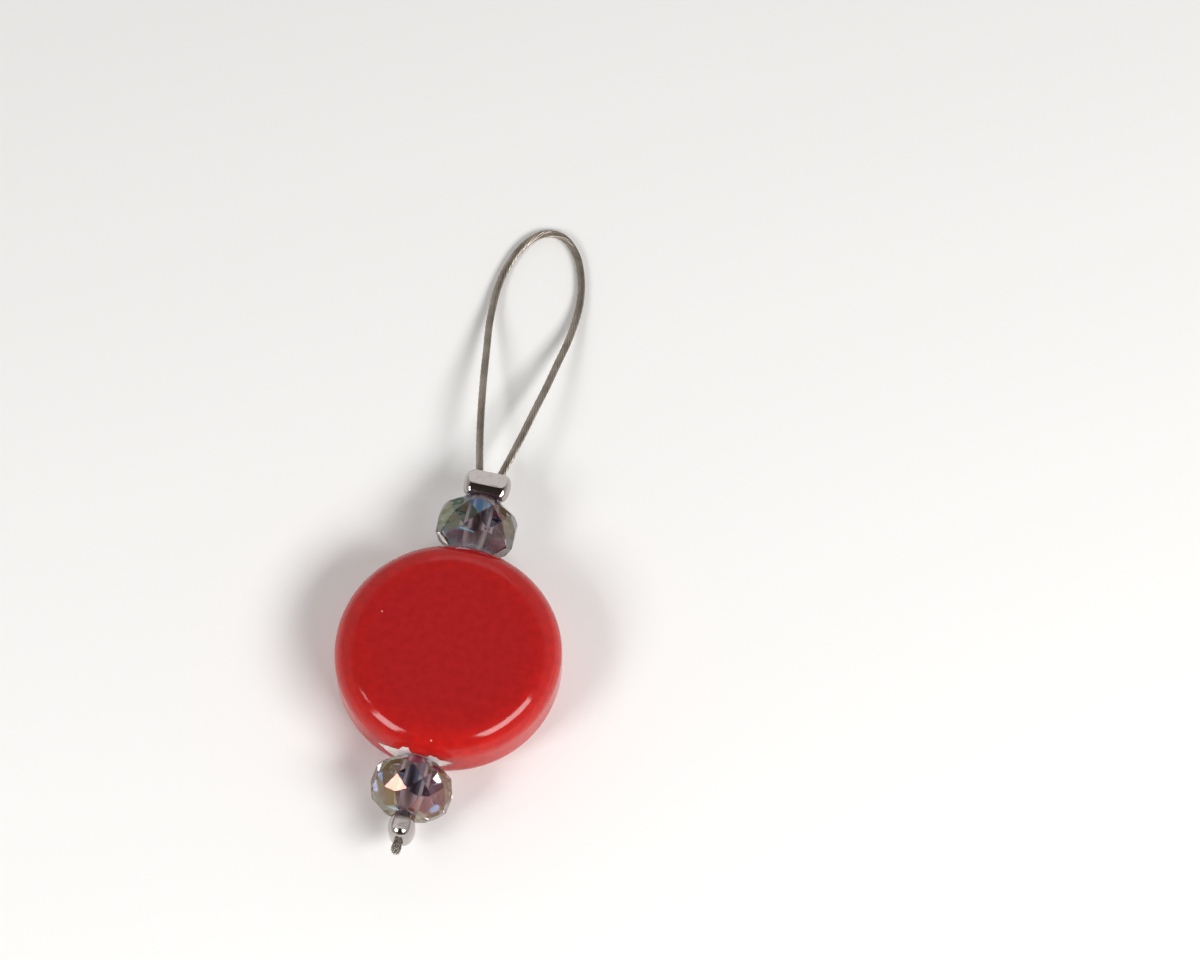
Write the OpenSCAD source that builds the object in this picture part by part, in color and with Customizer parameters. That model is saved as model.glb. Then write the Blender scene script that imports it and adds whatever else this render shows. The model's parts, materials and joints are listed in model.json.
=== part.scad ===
// A dangling stitch marker for knitting: a loop of steel beading cable that goes
// over the needle, closed by a pressed crimp, with a glazed ceramic disc between
// two cut crystals strung on the two cable tails, and a second crimp below them.
// The marker lies flat on a table. The string runs along Y, the loop points to +Y,
// and the origin is on the table, under the string and level with the disc's middle.

/* [Cable] */
// Diameter of the stranded cable
cable_d = 0.75; // [0.6:0.05:0.8]
// Sideways distance of each tail from the string's axis inside the beads
tail_offset = 0.4; // [0.39:0.01:0.45]
// How far the longer cut end stands out below the lower crimp
cut_end_length = 1.5; // [0.3:0.1:1.8]
// Diameter of the splayed strands at the longer cut end
cut_end_d = 1.1; // [0.75:0.05:1.2]

/* [Ceramic disc] */
// Diameter of the disc
disc_d = 22; // [18:0.5:26]
// Thickness of the disc
disc_t = 8; // [8:0.5:10]
// Radius of the rounded rim
rim_r = 2.7; // [1:0.1:3]
// Width of the bare clay round each mouth of the hole
bare_w = 7.6; // [4:0.2:9]
// Height of the bare clay round each mouth of the hole
bare_h = 3.2; // [2.6:0.1:4]
// Thickness of the glaze, which ends at the bare clay
glaze_t = 0.25; // [0.1:0.05:0.4]
// How far the hole misses the disc's middle
hole_offset = 0.4; // [0:0.1:1]
// Diameter of the hole through the disc, from rim to rim
disc_hole_d = 2.2; // [2:0.1:3]

/* [Crystals] */
// Diameter of a crystal over its belt points
crystal_d = 8; // [6:0.5:8]
// Height of a crystal along the string
crystal_h = 5.2; // [5:0.1:6]
// Number of facets round the belt
facets = 10; // [8:1:12]
// Half height of a belt facet
belt_half = 1.3; // [1:0.1:1.5]
// Tilt of the facets round the table, from the string's axis
star_tilt = 52; // [52:1:56]
// Width over flats of the table at each end
table_w = 4.4; // [4:0.2:4.6]
// Diameter of the drilled hole
crystal_hole_d = 1.7; // [1.7:0.05:1.9]
// Depth of the bevel at each mouth of the drilled hole
mouth_bevel = 0.2; // [0.1:0.05:0.3]
// Turn of the upper crystal about the string
upper_turn = 22; // [0:1:36]
// Turn of the lower crystal about the string
lower_turn = 0; // [0:1:36]

/* [Crimps] */
// Height of a crimp along the string
crimp_h = 2.6; // [2.2:0.1:3]
// Width of the upper crimp after pressing
upper_crimp_w = 4.6; // [4.2:0.1:5]
// Thickness of the upper crimp after pressing
upper_crimp_t = 2; // [1.8:0.1:2.4]
// Width of the lower crimp after pressing
lower_crimp_w = 4; // [3:0.1:4.4]
// Thickness of the lower crimp after pressing
lower_crimp_t = 2.5; // [2.2:0.1:2.8]
// Rounding of the crimp's edges
crimp_round = 0.9; // [0.4:0.1:0.9]
// Distance of each loop leg from the string's axis at the upper crimp's mouth
leg_offset = 1.05; // [0.9:0.05:1.2]
// Angle at which a loop leg leaves the upper crimp
leg_angle = 13; // [8:1:16]

/* [Spacing] */
// Gap between neighbours on the string
bead_gap = 0.15; // [0.1:0.05:0.5]
// Further slack between the upper crystal and the upper crimp
slack = 0.55; // [0:0.05:1]

/* [Hidden] */

$fn = 48;
eps = 0.05;
press_clearance = 0.01;
cutter = 4 * crystal_d;
cable_r = cable_d / 2;
cable_sides = 8;
axis_z = disc_t / 2;
disc_r = disc_d / 2;

// Places along the string
upper_crystal_y = disc_r + bead_gap + crystal_h / 2;
upper_crimp_y = upper_crystal_y + crystal_h / 2 + bead_gap + slack;
mouth_y = upper_crimp_y + crimp_h;
lower_crystal_y = -upper_crystal_y;
lower_crimp_y = lower_crystal_y - crystal_h / 2 - bead_gap - crimp_h;

// The right half of the loop's route, from the upper crimp's mouth to the loop's
// top: the distance from the axis, the distance from the mouth and the drop. The
// loop sinks from the string's axis until its top lies on the table.
loop_half = [
    [leg_offset, 0, 0], [1.65, 2.6, -0.1], [2.2, 5.3, -0.4], [2.7, 8.1, -0.8],
    [3.2, 11.1, -1.5], [3.6, 13.9, -2.1], [4, 16.6, -2.7], [4.2, 19.1, -3.2],
    [4.2, 21.6, -3.5], [3.8, 24, -3.6], [2.9, 26.4, -3.6], [1.5, 28.1, -3.6],
    [0, 28.6, -3.6]
];
loop_count = len(loop_half);
loop_route = concat(
    [for (p = loop_half) [p[0], mouth_y + p[1], axis_z + p[2]]],
    [for (i = [loop_count - 2:-1:0])
        [-loop_half[i][0], mouth_y + loop_half[i][1], axis_z + loop_half[i][2]]]
);
rings_per_step = 2;

// The tails turn a quarter round each other inside the disc, so that they lie
// side by side above it and one over the other below it.
twist_inset = 2;
twist_top = disc_r - twist_inset;
twist_bottom = -twist_top;
twist_rings = 14;
crimp_rings = 4;
splay_start = 0.1;
short_end = 0.1;

// The facets' places: the belt facets are upright and the crown facets pass
// through the belt's points and the belt facets' upper corners
facet_step = 360 / facets;
belt_distance = crystal_d / 2 * cos(facet_step / 2);
shoulder = belt_distance * cos(facet_step / 2);
crown_tilt = atan((crystal_d / 2 - shoulder) / belt_half);

function unit(v) = v / norm(v);
function ease(t) = let (s = max(0, min(1, t))) s * s * (3 - 2 * s);

// A smooth curve through the route's points
function route_point(route, i) = route[max(0, min(len(route) - 1, i))];
function curve_point(route, i, t) =
    let (a = route_point(route, i - 1), b = route_point(route, i),
         c = route_point(route, i + 1), d = route_point(route, i + 2))
    (2 * b + (c - a) * t + (2 * a - 5 * b + 4 * c - d) * t * t
        + (3 * b - a - 3 * c + d) * t * t * t) / 2;
function curve_points(route, steps) = concat(
    [for (i = [0:len(route) - 2], k = [0:steps - 1]) curve_point(route, i, k / steps)],
    [route[len(route) - 1]]
);

// One ring of a tube, square to the way that the tube runs there
function ring(centre, way, radius) =
    let (side = unit(cross(way, [0, 0, 1])), rise = cross(side, way))
    [for (k = [0:cable_sides - 1])
        let (a = 360 * (k + 0.5) / cable_sides)
        centre + radius * (cos(a) * side + sin(a) * rise)];

// A closed tube along the points, with the given ways at its two ends
module tube(points, radii, first_way, last_way) {
    n = len(points);
    rings = [for (i = [0:n - 1])
        let (way = i == 0 ? first_way
            : i == n - 1 ? last_way
            : unit(points[i + 1] - points[i - 1]))
        ring(points[i], way, radii[i])];
    sides = [for (i = [0:n - 2], k = [0:cable_sides - 1])
        let (a = i * cable_sides + k, b = i * cable_sides + (k + 1) % cable_sides)
        [a, b, b + cable_sides, a + cable_sides]];
    first_cap = [for (k = [cable_sides - 1:-1:0]) k];
    last_cap = [for (k = [0:cable_sides - 1]) (n - 1) * cable_sides + k];
    polyhedron([for (r = rings) each r], concat([first_cap], sides, [last_cap]));
}

// Grows from 0 to 1, level at first and with the slope of a loop leg at its end
function spread(t) =
    let (s = max(0, min(1, t)),
         slope = tan(leg_angle) * crimp_h / (leg_offset - tail_offset))
    (3 - slope) * s * s + (slope - 2) * s * s * s;

// The middle of a tail at a place along the string: side is 1 or -1
function tail_point(y, side) =
    let (turn = 90 * ease((twist_top - y) / (twist_top - twist_bottom)),
         reach = tail_offset
            + spread((y - upper_crimp_y) / crimp_h) * (leg_offset - tail_offset))
    [side * reach * cos(turn), y, axis_z + side * reach * sin(turn)];

// One strand from the loop's leg down to its cut end, where it may splay
module tail(side, straight_end, cut_y, cut_r) {
    places = concat(
        [for (k = [0:crimp_rings]) mouth_y - crimp_h * k / crimp_rings],
        [for (k = [0:twist_rings]) twist_top + (twist_bottom - twist_top) * k / twist_rings],
        [straight_end, cut_y]
    );
    tube(
        [for (y = places) tail_point(y, side)],
        [for (y = places) y == cut_y ? cut_r : cable_r],
        [-side * sin(leg_angle), -cos(leg_angle), 0], [0, -1, 0]
    );
}

// Puts a shape that is modelled upwards along Z onto the string, towards the loop
module on_string(y) {
    translate([0, y, axis_z]) rotate([-90, 0, 0]) children();
}

// Half of a rectangle with rounded corners, from its middle line to the right
module half_profile(half_width, height, radius) {
    intersection() {
        union() {
            square([half_width - radius, height]);
            translate([0, radius]) square([half_width, height - 2 * radius]);
            for (y = [radius, height - radius])
                translate([half_width - radius, y]) circle(radius);
        }
        square([half_width, height]);
    }
}

// A round metal bead pressed flat: a slab with half a barrel at each side
module pressed_bead(width, thickness, height, radius) {
    reach = (width - thickness) / 2;
    for (side = [0, 1])
        rotate([90, 0, 90]) mirror([side, 0, 0])
            linear_extrude(2 * reach, center = true)
                half_profile(thickness / 2, height, radius);
    for (x = [-reach, reach])
        translate([x, 0, 0]) rotate_extrude() half_profile(thickness / 2, height, radius);
}

// The flattened hole of a crimp, which grips a strand at each side
module strand_slot(offset, height) {
    slot_r = cable_r + press_clearance;
    translate([-offset, -slot_r, -eps]) cube([2 * offset, 2 * slot_r, height + 2 * eps]);
    for (x = [-offset, offset])
        translate([x, 0, -eps]) cylinder(r = slot_r, h = height + 2 * eps);
}

module crimp(width, thickness, offset) {
    color("silver") difference() {
        pressed_bead(width, thickness, crimp_h, crimp_round);
        strand_slot(offset, crimp_h);
    }
}

// One round of ground facets: planes through a point at a distance from the axis
// and at a height, which lean towards the axis by the tilt
module facet_round(turn, tilt, distance, height) {
    intersection_for (k = [0:facets - 1])
        rotate([0, 0, turn + facet_step * k]) translate([distance, 0, height])
            rotate([0, -tilt, 0]) translate([-cutter, -cutter / 2, -cutter / 2]) cube(cutter);
}

// The facets of one end: the crown rises from the belt's points and the star
// facets round the table lie over the belt facets
module crystal_end() {
    intersection() {
        facet_round(0, crown_tilt, crystal_d / 2, 0);
        facet_round(facet_step / 2, star_tilt, table_w / 2, crystal_h / 2);
    }
}

module crystal_hole() {
    hole_r = crystal_hole_d / 2;
    cylinder(r = hole_r, h = 2 * crystal_h, center = true);
    for (side = [0, 1])
        mirror([0, 0, side]) translate([0, 0, crystal_h / 2 - mouth_bevel])
            cylinder(r1 = hole_r, r2 = hole_r + 2 * mouth_bevel, h = 2 * mouth_bevel);
}

// A crystal ground from a drilled glass blank, with its middle at the origin
module crystal(turn) {
    color([0.5, 0.46, 0.5]) rotate([0, 0, turn]) difference() {
        intersection() {
            cylinder(d = 2 * crystal_d, h = crystal_h, center = true);
            facet_round(facet_step / 2, 0, belt_distance, 0);
            crystal_end();
            mirror([0, 0, 1]) crystal_end();
        }
        crystal_hole();
    }
}

module cable_loop() {
    points = curve_points(loop_route, rings_per_step);
    color([0.45, 0.42, 0.39])
        tube(
            points, [for (p = points) cable_r],
            [sin(leg_angle), cos(leg_angle), 0], [sin(leg_angle), -cos(leg_angle), 0]
        );
}

module cable_tails() {
    color([0.45, 0.42, 0.39]) {
        tail(1, lower_crimp_y - splay_start, lower_crimp_y - cut_end_length, cut_end_d / 2);
        tail(-1, lower_crimp_y + 2 * short_end, lower_crimp_y + short_end, cable_r);
    }
}

module upper_crimp() {
    on_string(upper_crimp_y) crimp(upper_crimp_w, upper_crimp_t, leg_offset);
}

module upper_crystal() {
    on_string(upper_crystal_y) crystal(upper_turn);
}

// A lens-shaped patch where the glaze stops short of the hole's mouth
module bare_patch() {
    lens_r = (pow(bare_w / 2, 2) + pow(bare_h / 2, 2)) / bare_h;
    linear_extrude(disc_d) intersection_for (side = [-1, 1])
        translate([0, side * (lens_r - bare_h / 2)]) circle(lens_r, $fn = 2 * $fn);
}

module ceramic_disc() {
    color([0.72, 0.1, 0.12]) difference() {
        translate([hole_offset, 0, 0]) rotate_extrude() half_profile(disc_r, disc_t, rim_r);
        on_string(-disc_d) cylinder(d = disc_hole_d, h = 2 * disc_d);
        difference() {
            on_string(-disc_r) bare_patch();
            translate([hole_offset, 0, 0]) cylinder(r = disc_r - glaze_t, h = disc_t);
        }
    }
}

module lower_crystal() {
    on_string(lower_crystal_y) crystal(lower_turn);
}

module lower_crimp() {
    on_string(lower_crimp_y) rotate([0, 0, 90])
        crimp(lower_crimp_w, lower_crimp_t, tail_offset);
}

cable_loop();
cable_tails();
upper_crimp();
upper_crystal();
ceramic_disc();
lower_crystal();
lower_crimp();
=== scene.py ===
# %% [markdown]
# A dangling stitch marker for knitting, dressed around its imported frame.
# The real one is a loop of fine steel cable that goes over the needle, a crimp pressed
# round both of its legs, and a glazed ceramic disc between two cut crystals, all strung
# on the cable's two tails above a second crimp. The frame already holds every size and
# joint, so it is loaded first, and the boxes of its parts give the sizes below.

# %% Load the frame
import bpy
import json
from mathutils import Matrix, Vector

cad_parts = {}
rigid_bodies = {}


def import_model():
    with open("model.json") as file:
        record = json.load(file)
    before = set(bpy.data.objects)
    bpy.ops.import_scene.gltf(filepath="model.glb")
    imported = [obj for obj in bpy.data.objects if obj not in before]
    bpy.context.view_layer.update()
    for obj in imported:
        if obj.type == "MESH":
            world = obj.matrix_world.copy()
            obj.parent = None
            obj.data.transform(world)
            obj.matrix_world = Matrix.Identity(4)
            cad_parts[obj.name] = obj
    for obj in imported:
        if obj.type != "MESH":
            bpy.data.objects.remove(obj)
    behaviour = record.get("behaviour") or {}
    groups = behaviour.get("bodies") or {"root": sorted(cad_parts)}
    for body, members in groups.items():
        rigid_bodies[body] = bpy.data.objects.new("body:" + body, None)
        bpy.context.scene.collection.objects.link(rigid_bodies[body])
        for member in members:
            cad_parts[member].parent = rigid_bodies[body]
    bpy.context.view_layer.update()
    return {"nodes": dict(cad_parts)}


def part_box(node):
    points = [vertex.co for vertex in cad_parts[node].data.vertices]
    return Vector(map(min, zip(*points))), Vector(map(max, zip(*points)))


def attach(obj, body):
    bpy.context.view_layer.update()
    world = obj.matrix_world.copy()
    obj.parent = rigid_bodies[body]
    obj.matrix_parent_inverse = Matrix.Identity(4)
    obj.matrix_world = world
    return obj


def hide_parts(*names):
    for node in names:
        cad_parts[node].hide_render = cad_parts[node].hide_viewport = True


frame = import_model()

import json
import math
import random

import bmesh
import bpy
from mathutils import Matrix, Vector, noise

# %% [markdown]
# Small things are measured in millimetres and Blender works in metres, so every size of
# the marker is written in millimetres times MM. Only the table and the lamps round it
# are in metres. Colours are written as on a screen, in hex, and the renderer wants
# linear light, so one function turns one into the other. Shader nodes could be placed
# one by one with long lines of code. One helper that adds a node, sets it and links it
# keeps each material short enough to read as a recipe.

# %% Units, colours and shader nodes
MM = 0.001


def linear(hex_colour):
    """A screen colour as linear red, green, blue and alpha."""
    channels = [int(hex_colour[i:i + 2], 16) / 255 for i in (0, 2, 4)]
    return [c / 12.92 if c <= 0.04045 else ((c + 0.055) / 1.055) ** 2.4 for c in channels] + [1]


def add_node(tree, kind, settings=None, inputs=None):
    """A new node. An input is a plain value, or the output socket that feeds it."""
    node = tree.nodes.new(kind)
    for name, value in (settings or {}).items():
        setattr(node, name, value)
    for name, value in (inputs or {}).items():
        if isinstance(value, bpy.types.NodeSocket):
            tree.links.new(value, node.inputs[name])
        else:
            node.inputs[name].default_value = value
    return node


def new_material(name):
    """An empty material: its node tree and its main shader's inputs."""
    material = bpy.data.materials.new(name)
    material.use_nodes = True
    return material, material.node_tree, material.node_tree.nodes["Principled BSDF"].inputs


def set_ramp(node, stops):
    """Gives a colour ramp its stops, as (place, hex colour) pairs."""
    ramp = node.color_ramp.elements
    while len(ramp) < len(stops):
        ramp.new(0.5)
    for element, (place, colour) in zip(ramp, stops):
        element.position = place
        element.color = linear(colour)


# %% [markdown]
# Modelling by hand goes in small steps: pick one piece, open it, select what is to be
# changed, and run a tool on the selection. The same steps work from code. An operator
# changes all that is selected, so each helper starts by deselecting everything, and then
# picks vertices, edges or faces by their place or size. What lies further from the middle
# than this share of a piece's whole length counts as its end.

# %% Modelling helpers
near_end = 0.49


def choose(piece):
    """Makes this piece the only one selected."""
    bpy.ops.object.select_all(action="DESELECT")
    piece.select_set(True)
    bpy.context.view_layer.objects.active = piece


def open_piece(piece):
    choose(piece)
    bpy.ops.object.mode_set(mode="EDIT")
    bpy.ops.mesh.select_all(action="DESELECT")


def close_piece():
    bpy.ops.object.mode_set(mode="OBJECT")


def pick(piece, kind, test):
    """Selects the vertices, edges or faces of the open piece that pass the test."""
    bpy.ops.mesh.select_mode(type={"verts": "VERT", "edges": "EDGE", "faces": "FACE"}[kind])
    bpy.ops.mesh.select_all(action="DESELECT")
    mesh = bmesh.from_edit_mesh(piece.data)
    for part in getattr(mesh, kind):
        part.select_set(test(part))
    bmesh.update_edit_mesh(piece.data)


def keep_place(piece):
    """Moves the piece's place, turn and size into its mesh."""
    choose(piece)
    bpy.ops.object.transform_apply(location=True, rotation=True, scale=True)


def modify(piece, kind, **settings):
    """Adds a modifier and applies it."""
    choose(piece)
    modifier = piece.modifiers.new(kind, kind)
    for name, value in settings.items():
        setattr(modifier, name, value)
    bpy.ops.object.modifier_apply(modifier=modifier.name)


def paint(piece, *materials):
    """Gives the piece these materials, in slot order."""
    piece.data.materials.clear()
    for material in materials:
        piece.data.materials.append(material)


# %% [markdown]
# The frame tells where things are. The string runs along Y at the height of the
# upper crimp's middle, and the disc hangs on it a little off its own centre. Reading
# these places here, once, means that no bead or crimp below needs a typed position.

# %% Places on the string
crimp_low, crimp_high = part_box("upper_crimp")
disc_low, disc_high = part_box("ceramic_disc")
axis_z = (crimp_low.z + crimp_high.z) / 2
mouth_y = crimp_high.y
lower_end_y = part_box("lower_crimp")[0].y
cut_end_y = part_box("cable_tails")[0].y
disc_middle = (disc_low + disc_high) / 2
disc_r = (disc_high.x - disc_low.x) / 2
disc_t = disc_high.z - disc_low.z
print(f"mouth of the upper crimp at y {mouth_y / MM:.2f} mm, disc radius {disc_r / MM:.2f} mm")

# %% [markdown]
# The photograph looks down on the marker from the front, a little from the right, with
# a long lens. The camera could be placed by eye. Here its direction is written as two
# angles and its lens as how many picture points a millimetre takes, which are easy to
# measure on the disc, and one step then slides it sideways so that the disc falls where
# the photograph has it.

# %% Camera
picture_width, picture_height = 1200, 960
camera_azimuth = math.radians(12.4)
camera_elevation = math.radians(66.6)
camera_distance = 460 * MM
points_per_mm = 10.4
disc_on_picture = (448.5, 658)
sensor_width = 36

camera_back = Vector((
    math.sin(camera_azimuth) * math.cos(camera_elevation),
    -math.cos(camera_azimuth) * math.cos(camera_elevation),
    math.sin(camera_elevation),
))
camera_right = Vector((math.cos(camera_azimuth), math.sin(camera_azimuth), 0))
camera_up = camera_back.cross(camera_right)
camera_target = (
    disc_middle
    - camera_right * (disc_on_picture[0] - picture_width / 2) / points_per_mm * MM
    - camera_up * (picture_height / 2 - disc_on_picture[1]) / points_per_mm * MM
)
bpy.ops.object.camera_add(location=camera_target + camera_back * camera_distance)
camera = bpy.context.object
camera.rotation_euler = Matrix((camera_right, camera_up, camera_back)).transposed().to_euler()
camera.data.lens = points_per_mm * camera_distance / MM * sensor_width / picture_width
camera.data.sensor_width = sensor_width
camera.data.clip_start = 0.01
bpy.context.scene.camera = camera
print(f"lens {camera.data.lens:.0f} mm")

# %% [markdown]
# The loop is a free cable with its real length, so its route comes before any looks. It
# leaves the crimp on the right leg, sinks to the table, turns round and comes back up the
# left leg. The points are the same ones as in the solid model: the distance
# from the string, the distance from the crimp's mouth and the drop, for the right half.
# Only the last two lie a few hundredths of a millimetre nearer to the crimp, because this
# cable is round where the solid one has flat sides, so that it stays inside the solid's box.
# A curve through them could be a Bezier with handles. A spline that passes through plain
# points needs no handles and follows the solid's own line.

# %% Route of the loop
loop_half = [
    (1.05, 0, 0), (1.65, 2.6, -0.1), (2.2, 5.3, -0.4), (2.7, 8.1, -0.8), (3.2, 11.1, -1.5),
    (3.6, 13.9, -2.1), (4, 16.6, -2.7), (4.2, 19.1, -3.2), (4.2, 21.6, -3.5),
    (3.8, 24, -3.6), (2.9, 26.4, -3.6), (1.5, 28.08, -3.6), (0, 28.57, -3.6),
]
right_leg = [Vector((x * MM, mouth_y + y * MM, axis_z + z * MM)) for x, y, z in loop_half]
loop_route = right_leg + [Vector((-p.x, p.y, p.z)) for p in right_leg[-2::-1]]


def smooth(route, steps):
    """Points along a smooth curve that passes through the route's own points."""
    padded = [route[0], *route, route[-1]]
    points = []
    for a, b, c, d in zip(padded, padded[1:], padded[2:], padded[3:]):
        for k in range(steps):
            t = k / steps
            points.append((
                2 * b + (c - a) * t + (2 * a - 5 * b + 4 * c - d) * t**2
                + (3 * b - a - 3 * c + d) * t**3
            ) / 2)
    return points + [route[-1]]


def path_length(points):
    return sum((b - a).length for a, b in zip(points, points[1:]))


loop_path = smooth(loop_route, 12)
print(f"cable in the loop: {path_length(loop_path) / MM:.1f} mm in {len(loop_path)} rings")

# %% [markdown]
# Beading cable is laid from fine steel wires and dipped in clear nylon. The outer wires
# run round it at a slant. A bump texture could draw them, but the grooves also break up
# the outline, so they are modelled: an outline of nine arcs is swept along the route and
# turned steadily as it goes. Such a cable commonly has twelve thinner wires outside,
# which would be too fine to show, so nine coarser ones are drawn. The nylon fills the
# bottom of the grooves.

# %% Stranded cable
cable_d = 0.75 * MM
outer_wires = 9
wire_ring_r = 0.276 * MM
wire_r = 0.097 * MM
nylon_floor_r = 0.28 * MM
arc_points = 8
lay_pitch = 6.2 * MM
groove_spread = 0.6


def cable_surface_r(angle):
    """How far the cable's surface is from its middle, in a direction across it."""
    step = 2 * math.pi / outer_wires
    off = (angle + step / 2) % step - step / 2
    reach = max(0, wire_r**2 - (wire_ring_r * math.sin(off))**2)
    return max(nylon_floor_r, wire_ring_r * math.cos(off) + math.sqrt(reach))


profile_count = outer_wires * arc_points
profile = bpy.data.curves.new("strand_profile", "CURVE")
outline = profile.splines.new("POLY")
outline.points.add(profile_count - 1)
outline.use_cyclic_u = True
for k, point in enumerate(outline.points):
    angle = 2 * math.pi * k / profile_count
    radius = cable_surface_r(angle)
    point.co = (radius * math.cos(angle), radius * math.sin(angle), 0, 1)
profile_object = bpy.data.objects.new("strand_profile", profile)
bpy.context.scene.collection.objects.link(profile_object)


def lay_cable(name, points):
    """A stranded cable whose rings sit on the points. It keeps how deep each groove is."""
    curve = bpy.data.curves.new(name, "CURVE")
    curve.dimensions = "3D"
    curve.twist_mode = "Z_UP"
    curve.bevel_mode = "OBJECT"
    curve.bevel_object = profile_object
    curve.use_fill_caps = True
    line = curve.splines.new("POLY")
    line.points.add(len(points) - 1)
    for k, place in enumerate(points):
        line.points[k].co = (*place, 1)
        line.points[k].tilt = -2 * math.pi * path_length(points[:k + 1]) / lay_pitch
    piece = bpy.data.objects.new(name, curve)
    bpy.context.scene.collection.objects.link(piece)
    choose(piece)
    bpy.ops.object.convert(target="MESH")
    mesh = piece.data
    groove = mesh.attributes.new("groove", "FLOAT", "POINT")
    crest_r = wire_ring_r + wire_r
    for k, vertex in enumerate(mesh.vertices):
        ring = min(k // profile_count, len(points) - 1)
        depth = (crest_r - (vertex.co - points[ring]).length) / (crest_r - nylon_floor_r)
        groove.data[k].value = max(0, min(1, depth))**groove_spread
    mesh.shade_smooth()
    print(name, len(mesh.vertices), "vertices for", len(points), "rings")
    return piece


cable_loop = lay_cable("loop_cable", loop_path)

# %% [markdown]
# The two tails carry the beads. They leave the loop side by side inside the upper
# crimp, draw together, and turn a quarter round each other inside the disc, so that below
# it one lies over the other. The turn is hidden by the ceramic, but the glass shows the
# strands on both sides of it, so the tails follow the solid model's own formula.

# %% Tails through the beads
tail_offset = 0.4 * MM
leg_offset = 1.05 * MM
leg_slope = math.tan(math.radians(13))
twist_half = 9 * MM
crimp_h = crimp_high.y - crimp_low.y
mouth_hold = 0.2 * MM
tail_step = 0.25 * MM
cable_turn = math.pi / 2


def tail_point(y, side):
    """The middle of a tail at a place along the string. Side is 1 or -1."""
    turning = max(0, min(1, (twist_half - y) / (2 * twist_half)))
    turn = cable_turn * turning**2 * (3 - 2 * turning)
    rise = max(0, min(1, (y - crimp_low.y) / crimp_h))
    slope = leg_slope * crimp_h / (leg_offset - tail_offset)
    spread = (3 - slope) * rise**2 + (slope - 2) * rise**3
    reach = side * (tail_offset + spread * (leg_offset - tail_offset))
    return Vector((reach * math.cos(turn), y, axis_z + reach * math.sin(turn)))


def tail_path(side, end_y):
    count = round((mouth_y - end_y) / tail_step)
    return [tail_point(mouth_y + (end_y - mouth_y) * k / count, side) for k in range(count + 1)]


long_tail = lay_cable("long_tail", tail_path(1, lower_end_y - mouth_hold))
short_tail = lay_cable("short_tail", tail_path(-1, lower_end_y + mouth_hold))
bpy.data.objects.remove(profile_object)

# %% [markdown]
# The longer tail is cut off just below the lower crimp, and its wires spring apart there
# and make a tiny tuft. One wire is modelled, a thin rod with its end rounded by the
# cutter, and copied nineteen times: one in the middle, six round it and twelve outside.
# Each copy leans outwards a little more the further out it sits. The cutter met the cable
# at a slant, so the upper wires are shorter than the lower ones. Each wire also carries
# a number of its own for how grimy it is, under the same name as the cable's grooves.

# %% Splayed wires at the cut end
cut_wire_r = 0.095 * MM
splay_length = lower_end_y - cut_end_y
splay_d = 1.1 * MM
cut_slant = 0.25
wire_rings = ((1, 0), (6, 0.15 * MM), (12, wire_ring_r))
wire_sides = 10
wire_share = 0.7
share_spread = 0.02
end_round = 0.03 * MM
grime_range = (0.25, 0.65)
random.seed(4)

bpy.ops.object.select_all(action="DESELECT")
bpy.ops.mesh.primitive_cylinder_add(vertices=wire_sides, radius=cut_wire_r, depth=splay_length)
one_wire = bpy.context.object
open_piece(one_wire)
pick(one_wire, "edges", lambda e: all(v.co.z > splay_length * near_end for v in e.verts))
bpy.ops.mesh.bevel(offset=end_round, segments=2, affect="EDGES")
close_piece()
wires = []
widest_spread = (splay_d / 2 - cut_wire_r) / wire_ring_r
start = tail_point(lower_end_y, 1)
for count, ring_r in wire_rings:
    for k in range(count):
        around = 2 * math.pi * (k + 0.5) / count
        out = Vector((math.cos(around), 0, math.sin(around))) * ring_r
        uneven = random.uniform(-share_spread, share_spread)
        length = wire_share - cut_slant * out.z / wire_ring_r + uneven
        sideways = out * (widest_spread * random.uniform(0.8, 1) - 1)
        way = (sideways - Vector((0, length * splay_length, 0))).normalized()
        wire = one_wire.copy()
        wire.data = one_wire.data.copy()
        grime = wire.data.attributes.new("groove", "FLOAT", "POINT")
        grime.data.foreach_set("value", [random.uniform(*grime_range)] * len(grime.data))
        bpy.context.scene.collection.objects.link(wire)
        turn = Vector((0, 0, 1)).rotation_difference(way).to_matrix().to_4x4()
        middle = start + out + way * splay_length * length / 2
        wire.matrix_world = Matrix.Translation(middle) @ turn @ Matrix.Diagonal((1, 1, length, 1))
        wires.append(wire)
bpy.data.objects.remove(one_wire)
bpy.ops.object.select_all(action="DESELECT")
for wire in wires:
    wire.select_set(True)
bpy.context.view_layer.objects.active = wires[0]
bpy.ops.object.join()
cut_wires = bpy.context.object
cut_wires.name = "cut_wires"
keep_place(cut_wires)
bpy.ops.object.shade_smooth_by_angle(angle=math.radians(50))
print("cut wires:", len(wires))
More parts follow.
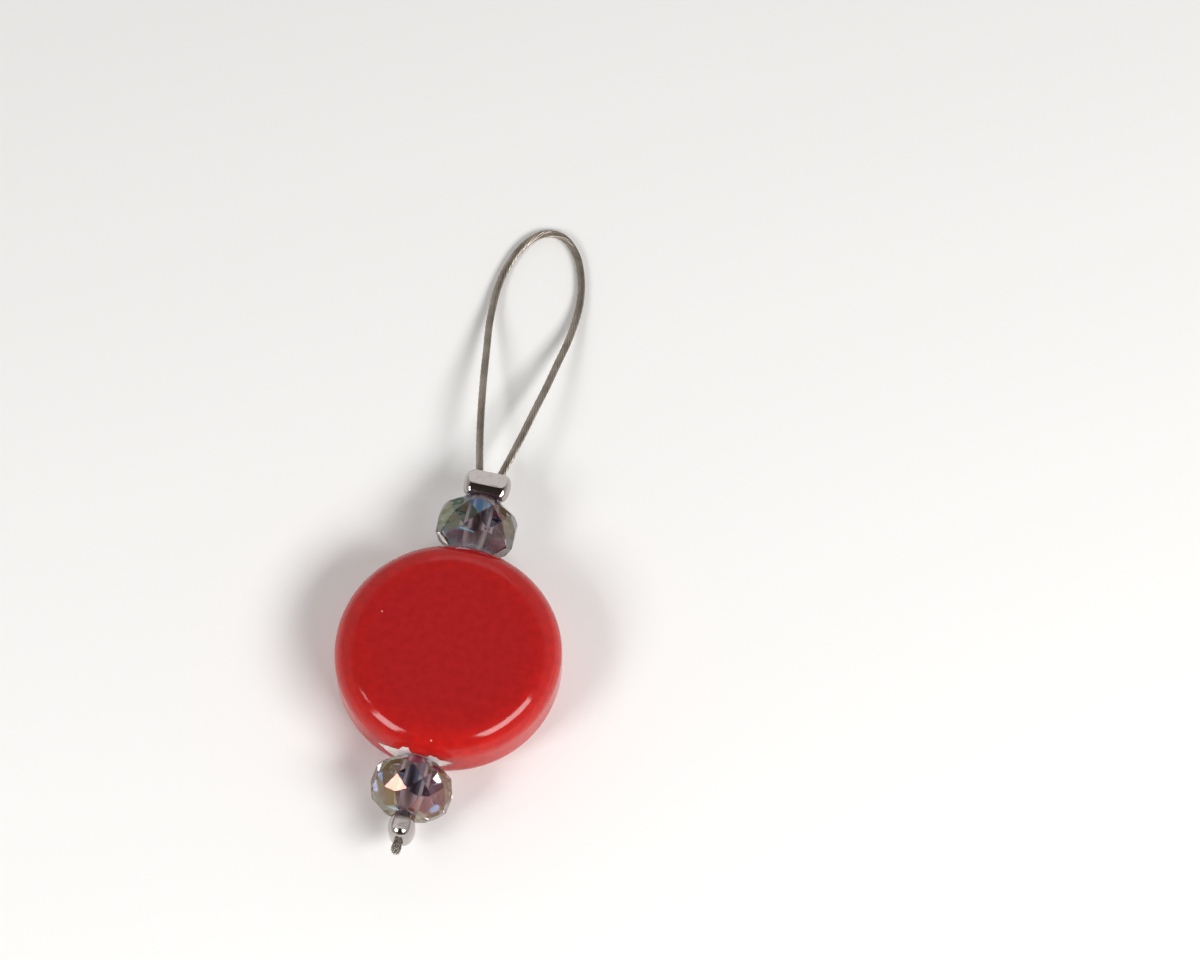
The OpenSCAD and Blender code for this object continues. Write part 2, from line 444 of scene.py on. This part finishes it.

# %% [markdown]
# Nylon-coated stainless steel cable: bright drawn wire under a thin clear skin. The
# metal is a warm grey, with painted shade that darkens it almost to black deep in the
# grooves, and the skin gives a soft second shine over it. The grooves are already in the
# mesh, so their depth, kept as an attribute when the cable was laid, only steers the
# painted shade. On the cut wires the same darkening is each wire's own grime.
# Slow patches about two millimetres wide stand for handling. The wires' own drawing
# marks are hundredths of a millimetre, too fine to show, and are left out.

# %% Coated steel
coated_steel, tree, shader = new_material("nylon_coated_stainless_cable")
groove = add_node(tree, "ShaderNodeAttribute", {"attribute_name": "groove"})
where = add_node(tree, "ShaderNodeTexCoord")
patches = add_node(tree, "ShaderNodeTexNoise", None, {
    "Vector": where.outputs["Object"], "Scale": 1 / (1.8 * MM), "Detail": 3.0,
})
steel_tones = add_node(tree, "ShaderNodeValToRGB", None, {"Fac": patches.outputs["Fac"]})
set_ramp(steel_tones, ((0.35, "8C8276"), (0.65, "ACA195")))
# Painted shade: the deeper the groove, the nearer to black the colour. On the cut wires this input is
# their grime.
groove_shade_and_grime = add_node(tree, "ShaderNodeMix", {"data_type": "RGBA", "blend_type": "MULTIPLY"}, {
    "Factor": groove.outputs["Fac"], "A": steel_tones.outputs["Color"], "B": linear("0A0705"),
})
tree.links.new(groove_shade_and_grime.outputs["Result"], shader["Base Color"])
shader["Metallic"].default_value = 0.85
shader["Roughness"].default_value = 0.3
shader["Coat Weight"].default_value = 0.3
shader["Coat Roughness"].default_value = 0.15
for piece in (cable_loop, long_tail, short_tail, cut_wires):
    paint(piece, coated_steel)

# %% [markdown]
# A crimp starts as a short, thick-walled bead of soft metal, turned like a barrel with
# rolled-in lips, and pliers press it flat round the cable. Modelling follows the same
# order. The wall's section, a rectangle with its outer corners well rounded, is spun
# round the bead's axis and swelled in the middle; then the halves are moved apart, the
# inside by as much as the cable needs and the outside by what the pressed width asks.

# %% Crimps
press_clearance = 0.01 * MM
lip_round = 0.3 * MM
mouth_round = 0.12 * MM
barrel_cuts = 15
barrel_reach = 1.06
crimp_steps = 56
merge_distance = 0.002 * MM


def swell(piece, inner_r, half_height):
    """Draws the outside in towards both mouths, so that it bulges like a barrel."""
    for vertex in piece.data.vertices:
        out = math.hypot(vertex.co.x, vertex.co.z)
        bulge = math.sqrt(1 - (vertex.co.y / half_height / barrel_reach)**2)
        narrowed = inner_r + (out - inner_r) * bulge
        vertex.co.x *= narrowed / out
        vertex.co.z *= narrowed / out


def pull_apart(piece, wall_r, inner_shift, outer_shift):
    """Moves the bead's right and left halves apart, the inside less than the outside."""
    for vertex in piece.data.vertices:
        outside = math.hypot(vertex.co.x, vertex.co.z) > wall_r
        if abs(vertex.co.x) > merge_distance:
            vertex.co.x += math.copysign(outer_shift if outside else inner_shift, vertex.co.x)


def pressed_crimp(name, node, slot_offset, on_edge):
    """A crimp pressed round two strands. On edge, its wide way is upright."""
    low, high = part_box(node)
    size = high - low
    width, thickness = (size.z, size.x) if on_edge else (size.x, size.z)
    inner_r = cable_d / 2 + press_clearance
    outer_r = thickness / 2
    bpy.ops.object.select_all(action="DESELECT")
    bpy.ops.mesh.primitive_plane_add(size=1, location=((inner_r + outer_r) / 2, 0, 0))
    piece = bpy.context.object
    piece.name = name
    piece.scale = (outer_r - inner_r, size.y, 1)
    keep_place(piece)
    open_piece(piece)
    for edge_x, radius, segments in ((outer_r, lip_round, 9), (inner_r, mouth_round, 3)):
        pick(piece, "verts", lambda v: abs(v.co.x - edge_x) < merge_distance)
        bpy.ops.mesh.bevel(offset=radius, segments=segments, affect="VERTICES")
    for k in range(barrel_cuts):
        cut_y = (size.y / 2 - lip_round) * (2 * (k + 1) / (barrel_cuts + 1) - 1)
        bpy.ops.mesh.select_all(action="SELECT")
        bpy.ops.mesh.bisect(plane_co=(0, cut_y, 0), plane_no=(0, 1, 0))
    pick(piece, "edges", lambda e: e.is_boundary is False)
    bpy.ops.mesh.delete(type="EDGE")
    bpy.ops.mesh.select_all(action="SELECT")
    bpy.ops.mesh.delete(type="ONLY_FACE")
    bpy.ops.mesh.select_all(action="SELECT")
    bpy.ops.mesh.spin(steps=crimp_steps, angle=2 * math.pi, center=(0, 0, 0), axis=(0, 1, 0))
    bpy.ops.mesh.select_all(action="SELECT")
    bpy.ops.mesh.remove_doubles(threshold=merge_distance)
    bpy.ops.mesh.normals_make_consistent(inside=False)
    close_piece()
    swell(piece, inner_r, size.y / 2)
    pull_apart(piece, inner_r + mouth_round, slot_offset, (width - thickness) / 2)
    if on_edge:
        piece.rotation_euler = (0, math.pi / 2, 0)
    piece.location = (low + high) / 2
    keep_place(piece)
    piece.data.shade_smooth()
    print(name, len(piece.data.polygons), "faces")
    return piece


upper_crimp = pressed_crimp("pressed_upper_crimp", "upper_crimp", leg_offset, False)
lower_crimp = pressed_crimp("pressed_lower_crimp", "lower_crimp", tail_offset, True)

# %% [markdown]
# The pliers' jaws left a flat on each crimp, over about two thirds of its length: a wide
# one that runs out on the upper crimp, and a narrow one that ends in a step on the lower.
# They could be dented in by moving vertices, but a jaw leaves a crisp edge. So a block
# with slightly rounded edges, leaning and sunk half a millimetre or a little more into
# the crimp, takes away the metal that the jaw pushed aside. The lower one leans less,
# because at the upper one's angle it would mirror the red disc.

# %% Jaw marks
jaw_edge = 0.05 * MM
crease_angle = math.radians(25)


def press_mark(piece, node, width, length, depth, lean):
    """Sinks a jaw into the top of a crimp, deepest towards the loop. Lean is in degrees."""
    low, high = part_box(node)
    bpy.ops.object.select_all(action="DESELECT")
    bpy.ops.mesh.primitive_cube_add(size=1)
    jaw = bpy.context.object
    jaw.scale = (width, 2 * length, 2 * depth)
    jaw.rotation_euler = (math.radians(lean), 0, 0)
    jaw.location = ((low.x + high.x) / 2, high.y, high.z)
    keep_place(jaw)
    open_piece(jaw)
    bpy.ops.mesh.select_all(action="SELECT")
    bpy.ops.mesh.bevel(offset=jaw_edge, segments=2, affect="EDGES")
    close_piece()
    modify(piece, "BOOLEAN", operation="DIFFERENCE", solver="EXACT", object=jaw)
    bpy.data.objects.remove(jaw)
    choose(piece)
    bpy.ops.object.shade_smooth_by_angle(angle=crease_angle)
    print(piece.name, "with the jaw's mark:", len(piece.data.polygons), "faces")


press_mark(
    upper_crimp, "upper_crimp", width=4.8 * MM, length=1.6 * MM, depth=0.46 * MM, lean=-15)
press_mark(
    lower_crimp, "lower_crimp", width=1.5 * MM, length=1.9 * MM, depth=0.7 * MM, lean=-11)

# %% [markdown]
# Silver-plated brass, tumbled bright and then marked by the pliers. It mirrors the room,
# so most of its look comes from the light, and only small things are left to the
# material: a slightly warm white metal, soft ripples left by pressing, about a millimetre
# apart, and rubbed spots a quarter of a millimetre wide, where the shine is duller.

# %% Silver plate
silver_plate, tree, shader = new_material("pressed_silver_plated_brass")
where = add_node(tree, "ShaderNodeTexCoord")
ripples = add_node(tree, "ShaderNodeTexNoise", None, {
    "Vector": where.outputs["Object"], "Scale": 1 / (0.9 * MM), "Detail": 4.0,
})
rubbing = add_node(tree, "ShaderNodeTexNoise", None, {
    "Vector": where.outputs["Object"], "Scale": 1 / (0.25 * MM), "Detail": 4.0,
})
dull = add_node(tree, "ShaderNodeMapRange", None, {
    "Value": rubbing.outputs["Fac"], "From Min": 0.4, "From Max": 0.7, "To Min": 0.08, "To Max": 0.2,
})
dents = add_node(tree, "ShaderNodeBump", None, {
    "Strength": 0.6, "Distance": 0.09 * MM, "Height": ripples.outputs["Fac"],
})
tree.links.new(dull.outputs["Result"], shader["Roughness"])
tree.links.new(dents.outputs["Normal"], shader["Normal"])
shader["Base Color"].default_value = linear("B8B0AC")
shader["Metallic"].default_value = 1
for piece in (upper_crimp, lower_crimp):
    paint(piece, silver_plate)

# %% [markdown]
# The crystals are ground from drilled glass: a belt of upright facets, a round of
# kite-shaped facets on each side of it, and a flat table at each end. The solid model
# already has every facet where it belongs, so its mesh is copied and only finished as a
# polisher would: loose triangles are merged into whole facets, and each ridge is broken by
# a bevel of a few hundredths of a millimetre, which catches a thread of light.

# %% Crystals
ridge_bevel = 0.035 * MM
facet_flatness = math.radians(1)
ridge_angle = math.radians(11)
bore_r = 0.85 * MM
bore_wall_r = bore_r * 1.01


def polished_crystal(name, node):
    """A copy of a crystal's solid with whole facets, bevelled ridges and a smooth hole."""
    piece = bpy.data.objects.new(name, frame["nodes"][node].data.copy())
    bpy.context.scene.collection.objects.link(piece)
    open_piece(piece)
    bpy.ops.mesh.select_all(action="SELECT")
    bpy.ops.mesh.customdata_custom_splitnormals_clear()
    bpy.ops.mesh.remove_doubles(threshold=merge_distance)
    bpy.ops.mesh.dissolve_limited(angle_limit=facet_flatness)
    close_piece()
    facets = len(piece.data.polygons)
    modify(piece, "BEVEL", width=ridge_bevel, segments=1, limit_method="ANGLE",
           angle_limit=ridge_angle)
    for face in piece.data.polygons:
        out = math.hypot(face.center.x, face.center.z - axis_z)
        face.use_smooth = out < bore_wall_r
    print(name, facets, "facets,", len(piece.data.polygons), "faces with ridges")
    return piece


upper_crystal = polished_crystal("cut_upper_crystal", "upper_crystal")
lower_crystal = polished_crystal("cut_lower_crystal", "lower_crystal")

# %% [markdown]
# Cut and polished crystal glass, tinted smoky and given a vapour-deposited rainbow coat.
# Clear polished glass bends light by 1.52, and tinted glass darkens it a little more with
# every crossing. The coat is a film fifty to three hundred nanometres thick. Its colours
# could be painted facet by facet, but real ones come from interference and change with
# the view, so the shader's own thin film makes them. Its thickness changes with the way
# that a facet faces, as where vapour comes from one side, and each bead has a thickness
# of its own. These values were picked until the facets came near the colours in
# the photograph, and aren't measured. The drilled hole isn't polished: it is ground by
# the drill and looks frosted, so roughness rises close to the string.

# %% Smoky glass
lower_coat_nm, upper_coat_nm = 265.0, 150.0
lower_facet_nm, upper_facet_nm = -12.0, 100.0
drift_nm = 27.0
vapour_side = Vector((-0.9, 0, 0.3)).normalized()
lower_side, upper_side = -1 * MM, 1 * MM
bore_roughness = 0.35
frosted_r, polished_r = bore_r * 1.02, bore_r * 1.1
smoky_glass, tree, shader = new_material("cut_smoky_crystal_glass")
where = add_node(tree, "ShaderNodeTexCoord")
centred = add_node(tree, "ShaderNodeMapping", None, {
    "Vector": where.outputs["Object"], "Location": (0, 0, -axis_z), "Scale": (1, 0, 1),
})
from_string = add_node(tree, "ShaderNodeVectorMath", {"operation": "LENGTH"}, {
    0: centred.outputs["Vector"],
})
frosting = add_node(tree, "ShaderNodeMapRange", None, {
    "Value": from_string.outputs["Value"], "From Min": frosted_r, "From Max": polished_r,
    "To Min": bore_roughness, "To Max": 0.0,
})
along_string = add_node(tree, "ShaderNodeSeparateXYZ", None, {"Vector": where.outputs["Object"]})
bead_coat = add_node(tree, "ShaderNodeMapRange", None, {
    "Value": along_string.outputs["Y"], "From Min": lower_side, "From Max": upper_side,
    "To Min": lower_coat_nm, "To Max": upper_coat_nm,
})
towards_vapour = add_node(tree, "ShaderNodeVectorMath", {"operation": "DOT_PRODUCT"}, {
    0: where.outputs["Normal"], 1: vapour_side,
})
facet_share = add_node(tree, "ShaderNodeMapRange", None, {
    "Value": along_string.outputs["Y"], "From Min": lower_side, "From Max": upper_side,
    "To Min": lower_facet_nm, "To Max": upper_facet_nm,
})
facet_coat = add_node(tree, "ShaderNodeMath", {"operation": "MULTIPLY_ADD"}, {
    0: towards_vapour.outputs["Value"], 1: facet_share.outputs["Result"],
    2: bead_coat.outputs["Result"],
})
coat_drift = add_node(tree, "ShaderNodeTexNoise", None, {
    "Vector": where.outputs["Object"], "Scale": 1 / (3 * MM), "Detail": 0.0,
})
film = add_node(tree, "ShaderNodeMath", {"operation": "MULTIPLY_ADD"}, {
    0: coat_drift.outputs["Fac"], 1: drift_nm, 2: facet_coat.outputs["Value"],
})
tree.links.new(frosting.outputs["Result"], shader["Roughness"])
tree.links.new(film.outputs["Value"], shader["Thin Film Thickness"])
shader["Base Color"].default_value = linear("9A8F98")
shader["IOR"].default_value = 1.52
shader["Transmission Weight"].default_value = 1
shader["Thin Film IOR"].default_value = 1.85
for piece in (upper_crystal, lower_crystal):
    paint(piece, smoky_glass)

# %% [markdown]
# The disc is pressed from clay, drilled through from rim to rim, glazed and fired. A
# lathe shape would be too perfect: a hand-finished disc is never quite round. So it
# starts as a drum with its rims rounded by a wide bevel, its faces are divided into rings
# by insets, and then every point is moved a little by a slow, wide noise, always inwards,
# so that the disc keeps its measured size. The face also falls off slightly before it
# rounds over, as a glazed face does.

# %% Body of the disc
disc_sides = 160
rim_r = 2.7 * MM
rim_segments = 16
face_rings = 9
wall_cuts = 6
wobble = 0.16 * MM
face_fall = 0.1 * MM
face_wave = 9 * MM
face_r = disc_r - rim_r

bpy.ops.object.select_all(action="DESELECT")
bpy.ops.mesh.primitive_cylinder_add(
    vertices=disc_sides, radius=disc_r, depth=disc_t, location=disc_middle)
disc = bpy.context.object
disc.name = "glazed_disc"
keep_place(disc)
open_piece(disc)
pick(disc, "edges", lambda e: e.calc_length() < disc_t / 2
     and abs((e.verts[0].co.z + e.verts[1].co.z) / 2 - disc_middle.z) > disc_t * near_end)
bpy.ops.mesh.bevel(offset=rim_r, segments=rim_segments, affect="EDGES")
for k in range(face_rings):
    pick(disc, "faces", lambda f: len(f.verts) > 4)
    bpy.ops.mesh.inset(thickness=face_r / (face_rings + 0.5))
for k in range(wall_cuts):
    bpy.ops.mesh.select_all(action="SELECT")
    cut_z = disc_low.z + rim_r + (disc_t - 2 * rim_r) * (k + 1) / (wall_cuts + 1)
    bpy.ops.mesh.bisect(plane_co=(0, 0, cut_z), plane_no=(0, 0, 1))
close_piece()

for vertex in disc.data.vertices:
    flat = Vector((vertex.co.x - disc_middle.x, vertex.co.y - disc_middle.y, 0))
    out = flat.length
    if out > merge_distance:
        wave = noise.noise(Vector((flat.x / out * 0.9, flat.y / out * 0.9, 3.1)))
        flat *= 1 - wobble / disc_r * (0.5 + wave) * min(1, out / face_r)
    rise = noise.noise(Vector((flat.x, flat.y, 0)) / face_wave)
    fall = max(0, (out - 0.6 * face_r) / (0.4 * face_r))
    drop = face_fall * (min(1, fall)**2 + 0.4 * max(0, 0.5 + rise))
    on_top = max(0, (vertex.co.z - disc_middle.z) / (disc_t / 2))
    vertex.co = Vector((disc_middle.x + flat.x, disc_middle.y + flat.y, vertex.co.z - drop * on_top))
print("disc body:", len(disc.data.vertices), "vertices")

# %% [markdown]
# Round each mouth of the hole the glaze has run back and the bare clay shows, as a
# lens-shaped patch with a chipped upper edge. It could be painted, but the glaze is a
# quarter of a millimetre thick and its edge stands up round the patch. So a cutter is
# made: a lens outline with two chips is drawn from a circle of points, extruded through
# the wall, and a slightly smaller copy of the disc is taken out of it. What is left is as
# deep as the glaze and follows the wall, and it is cut from the disc. A cut face takes
# its cutter's material, so glaze and clay get their names here and their looks below.

# %% Bare patches and the hole
patch_half_w = 3.75 * MM
patch_half_h = 1.45 * MM
patch_rise = 0.35 * MM
patch_shift = -0.8 * MM
chips = ((-0.9, 1.2, 0.6), (1.9, 1.2, 0.4))
chip_steepness = 2.2
lens_power = 2.2
ragged_width = 0.35 * MM
ragged_height = 0.12 * MM
patch_points = 120
glaze_t = 0.24 * MM
hole_r = 1.1 * MM
patch_reach = 3 * MM


def patch_height(x, upper):
    """The lens's half height at a place across it, in metres, with the chips on top."""
    across = x / patch_half_w
    height = patch_half_h * (1 - abs(across)**lens_power)
    row = 5.0 if upper else 9.0
    ragged = noise.noise(Vector((x / ragged_width, row, 0))) * ragged_height
    if upper:
        for middle, width, rise in chips:
            inside = max(0, 1 - abs(x / MM - middle) / (width / 2))
            height += rise * MM * min(1, chip_steepness * inside)
    return max(0, height + ragged * min(1, 4 * (1 - abs(across))))


def bare_patch(side):
    """The cutter for the front, side -1, or the back, side 1."""
    bpy.ops.object.select_all(action="DESELECT")
    bpy.ops.mesh.primitive_circle_add(vertices=patch_points, radius=1, fill_type="NGON")
    cutter = bpy.context.object
    for vertex in cutter.data.vertices:
        x = vertex.co.x * patch_half_w
        upper = vertex.co.y > 0
        z = patch_height(x, upper) * (1 if upper else -1)
        x_there = disc_middle.x + patch_shift + x * -side
        vertex.co = (x_there, side * (disc_r - patch_reach), disc_middle.z + patch_rise + z)
    open_piece(cutter)
    bpy.ops.mesh.select_all(action="SELECT")
    bpy.ops.mesh.extrude_region_move(
        TRANSFORM_OT_translate={"value": (0, side * (patch_reach + 1 * MM), 0)})
    bpy.ops.mesh.select_all(action="SELECT")
    bpy.ops.mesh.normals_make_consistent(inside=False)
    close_piece()
    core = bpy.data.objects.new("core", disc.data.copy())
    bpy.context.scene.collection.objects.link(core)
    core.data.transform(
        Matrix.Translation(disc_middle)
        @ Matrix.Diagonal((1 - glaze_t / disc_r, 1 - glaze_t / disc_r, 1 - 2 * glaze_t / disc_t, 1))
        @ Matrix.Translation(-disc_middle))
    modify(cutter, "BOOLEAN", operation="DIFFERENCE", solver="EXACT", object=core)
    bpy.data.objects.remove(core)
    return cutter


red_glaze, glaze_tree, glaze_shader = new_material("gloss_red_earthenware_glaze")
bare_clay, clay_tree, clay_shader = new_material("fired_white_earthenware")
paint(disc, red_glaze)
cutters = [bare_patch(-1), bare_patch(1)]
bpy.ops.object.select_all(action="DESELECT")
bpy.ops.mesh.primitive_cylinder_add(
    vertices=64, radius=hole_r, depth=3 * disc_r, location=(0, 0, axis_z),
    rotation=(math.pi / 2, 0, 0))
drill = bpy.context.object
keep_place(drill)
for cutter in [*cutters, drill]:
    paint(cutter, bare_clay)
    modify(disc, "BOOLEAN", operation="DIFFERENCE", solver="EXACT", object=cutter,
           material_mode="TRANSFER")
    bpy.data.objects.remove(cutter)
disc.data.shade_smooth()
choose(disc)
bpy.ops.object.shade_smooth_by_angle(angle=math.radians(32))
bare = sum(face.material_index > 0 for face in disc.data.polygons)
print("disc:", len(disc.data.polygons), "faces, of them bare clay:", bare)

# %% [markdown]
# Gloss red glaze, brushed on and fired over white earthenware. A glaze is coloured
# glass: it pools on the flat face, where it is deep and dark, and draws thin over the rim,
# where it turns brighter and warmer. So the colour follows the distance from the disc's
# middle, with slow clouds about six millimetres wide from the brush and a darker mottle
# of just under a millimetre. The surface is glossy, with the faint orange-peel ripple of
# melted glass, and its mirror is held a little below clean glass, which keeps the face
# deep red. Bubbles burst in it at a few places and left pinholes a quarter of a
# millimetre wide, where paler clay shows.

# %% Red glaze
pinholes = ((-6.84, 1.84, 4), (0.7, -9.79, 3.4), (2.47, -9.92, 3.2))
where = add_node(glaze_tree, "ShaderNodeTexCoord")
centred = add_node(glaze_tree, "ShaderNodeMapping", None, {
    "Vector": where.outputs["Object"], "Location": (-disc_middle.x, -disc_middle.y, 0),
    "Scale": (1, 1, 0),
})
from_middle = add_node(glaze_tree, "ShaderNodeVectorMath", {"operation": "LENGTH"}, {
    0: centred.outputs["Vector"],
})
clouds = add_node(glaze_tree, "ShaderNodeTexNoise", None, {
    "Vector": where.outputs["Object"], "Scale": 1 / (6 * MM), "Detail": 3.0,
})
cloud_shift = add_node(glaze_tree, "ShaderNodeMapRange", None, {
    "Value": clouds.outputs["Fac"], "To Min": -1.2 * MM, "To Max": 1.2 * MM,
})
cloudy_place = add_node(glaze_tree, "ShaderNodeMath", {"operation": "ADD"}, {
    0: from_middle.outputs["Value"], 1: cloud_shift.outputs["Result"],
})
thinning = add_node(glaze_tree, "ShaderNodeMapRange", None, {
    "Value": cloudy_place.outputs["Value"], "From Min": 0.0, "From Max": disc_r,
})
glaze_tones = add_node(glaze_tree, "ShaderNodeValToRGB", None, {"Fac": thinning.outputs["Result"]})
set_ramp(glaze_tones, ((0.6, "A81F21"), (0.8, "AF1E1D"), (0.97, "C01D17")))
speckle = add_node(glaze_tree, "ShaderNodeTexNoise", None, {
    "Vector": where.outputs["Object"], "Scale": 1 / (0.8 * MM), "Detail": 4.0,
})
mottle = add_node(glaze_tree, "ShaderNodeMapRange", None, {
    "Value": speckle.outputs["Fac"], "From Min": 0.35, "From Max": 0.65, "To Min": 0.0, "To Max": 0.36,
})
mottled = add_node(glaze_tree, "ShaderNodeMix", {"data_type": "RGBA"}, {
    "Factor": mottle.outputs["Result"], "A": glaze_tones.outputs["Color"], "B": linear("8E1518"),
})
deepest = None
for place in pinholes:
    here = add_node(glaze_tree, "ShaderNodeVectorMath", {"operation": "DISTANCE"}, {
        0: where.outputs["Object"], 1: disc_middle + Vector(place) * MM,
    })
    pit = add_node(glaze_tree, "ShaderNodeMapRange", None, {
        "Value": here.outputs["Value"], "From Min": 0.06 * MM, "From Max": 0.13 * MM,
        "To Min": 1.0, "To Max": 0.0,
    })
    deepest = pit.outputs["Result"] if deepest is None else add_node(
        glaze_tree, "ShaderNodeMath", {"operation": "MAXIMUM"}, {0: deepest, 1: pit.outputs["Result"]},
    ).outputs["Value"]
spotted = add_node(glaze_tree, "ShaderNodeMix", {"data_type": "RGBA"}, {
    "Factor": deepest, "A": mottled.outputs["Result"], "B": linear("E39A8C"),
})
peel = add_node(glaze_tree, "ShaderNodeTexNoise", None, {
    "Vector": where.outputs["Object"], "Scale": 1 / (1.6 * MM), "Detail": 2.0,
})
dips = add_node(glaze_tree, "ShaderNodeMath", {"operation": "MULTIPLY_ADD"}, {
    0: deepest, 1: -1.0, 2: peel.outputs["Fac"],
})
melt = add_node(glaze_tree, "ShaderNodeBump", None, {
    "Strength": 0.35, "Distance": 0.03 * MM, "Height": dips.outputs["Value"],
})
glaze_tree.links.new(spotted.outputs["Result"], glaze_shader["Base Color"])
glaze_tree.links.new(melt.outputs["Normal"], glaze_shader["Normal"])
glaze_shader["Roughness"].default_value = 0.115
glaze_shader["IOR"].default_value = 1.5
glaze_shader["Specular IOR Level"].default_value = 0.3

# %% [markdown]
# Bare fired earthenware: a fine, dry, off-white clay with a faint pink tinge and hardly
# any shine. Its real grain is about a tenth of a millimetre, too fine to show, so it is
# drawn three times as coarse.

# %% Bare clay
where = add_node(clay_tree, "ShaderNodeTexCoord")
grain = add_node(clay_tree, "ShaderNodeTexNoise", None, {
    "Vector": where.outputs["Object"], "Scale": 1 / (0.3 * MM), "Detail": 5.0,
})
clay_tones = add_node(clay_tree, "ShaderNodeValToRGB", None, {"Fac": grain.outputs["Fac"]})
set_ramp(clay_tones, ((0.3, "F0DFD8"), (0.5, "FFF5F2"), (0.75, "FFFCFB")))
rough_skin = add_node(clay_tree, "ShaderNodeBump", None, {
    "Strength": 0.5, "Distance": 0.04 * MM, "Height": grain.outputs["Fac"],
})
clay_tree.links.new(clay_tones.outputs["Color"], clay_shader["Base Color"])
clay_tree.links.new(rough_skin.outputs["Normal"], clay_shader["Normal"])
clay_shader["Roughness"].default_value = 0.9

# %% [markdown]
# A plain pale table top, wide enough to fill every view. It is a sheet of matt card, so
# it has only a colour and hardly any shine.

# %% Table top
table_size = 3
bpy.ops.object.select_all(action="DESELECT")
bpy.ops.mesh.primitive_plane_add(size=table_size, location=(0, 0, 0))
table = bpy.context.object
table.name = "table_top"
pale_card, tree, shader = new_material("matt_white_card")
shader["Base Color"].default_value = linear("F6F5F3")
shader["Roughness"].default_value = 0.8
shader["Specular IOR Level"].default_value = 0.2
paint(table, pale_card)

# %% [markdown]
# The highlights in a photograph tell where its lamps were: a glossy rim mirrors each
# softbox as a streak. Tracing the camera's line of sight off the rim at the two streaks
# gives a lamp at the front left and a longer one at the right, both about forty degrees
# up. Two small ones were added: a window at the left, which one facet of the
# lower crystal mirrors, and a card behind, for the flats on the crimps. The room is
# bright near the table and on the far side, and dark overhead, where the photographer
# looks down from. That keeps the flat face deep red and gives the metal its dark band.

# %% Lamps and room
lamp_distance = 450 * MM


def softbox(name, azimuth, elevation, width, height, power):
    """A soft lamp. Azimuth 0 stands in front of the disc and 90 at its right.

    Angles are in degrees, sizes in metres and the power in watts.
    """
    a, e = math.radians(azimuth), math.radians(elevation)
    way = Vector((math.sin(a) * math.cos(e), -math.cos(a) * math.cos(e), math.sin(e)))
    bpy.ops.object.select_all(action="DESELECT")
    bpy.ops.object.light_add(type="AREA", location=disc_middle + way * lamp_distance)
    lamp = bpy.context.object
    lamp.name = name
    lamp.rotation_euler = (-way).to_track_quat("-Z", "Y").to_euler()
    lamp.data.shape = "RECTANGLE"
    lamp.data.size = width
    lamp.data.size_y = height
    lamp.data.energy = power


softbox("left_softbox", -41, 40, 0.15, 0.16, 0.85)
softbox("right_softbox", 63, 42, 0.32, 0.15, 1.8)
softbox("small_window", -71, 46.6, 0.05, 0.05, 0.07)
softbox("back_card", 186, 41, 0.17, 0.17, 0.048)

room = bpy.data.worlds.new("studio_room")
bpy.context.scene.world = room
room.use_nodes = True
tree = room.node_tree
where = add_node(tree, "ShaderNodeTexCoord")
towards_photographer = add_node(tree, "ShaderNodeVectorMath", {"operation": "DOT_PRODUCT"}, {
    0: where.outputs["Generated"], 1: camera_back,
})
walls = add_node(tree, "ShaderNodeValToRGB", None, {"Fac": towards_photographer.outputs["Value"]})
set_ramp(walls, ((0.0, "C8C8C6"), (0.4, "BCBCBC"), (0.62, "544E4C"), (0.8, "3A3431")))
tree.links.new(walls.outputs["Color"], tree.nodes["Background"].inputs["Color"])
tree.nodes["Background"].inputs["Strength"].default_value = 1.0
bpy.context.scene.view_settings.view_transform = "Standard"

# %% [markdown]
# Last, every piece is tied to the body that carries it, so that it follows the joints:
# the cable and the crimps are the string, and each bead turns on it by itself.

# %% Ride the bodies
for piece, body, node, slot in (
    (cable_loop, "string", "cable_loop", "cable"),
    (long_tail, "string", "cable_tails", "cable"),
    (short_tail, "string", "cable_tails", "cable"),
    (cut_wires, "string", "cable_tails", "cable"),
    (upper_crimp, "string", "upper_crimp", "crimp"),
    (lower_crimp, "string", "lower_crimp", "crimp"),
    (upper_crystal, "upper_bead", "upper_crystal", "crystal"),
    (lower_crystal, "lower_bead", "lower_crystal", "crystal"),
    (disc, "disc_bead", "ceramic_disc", "glaze"),
):
    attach(piece, body)
    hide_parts(node)
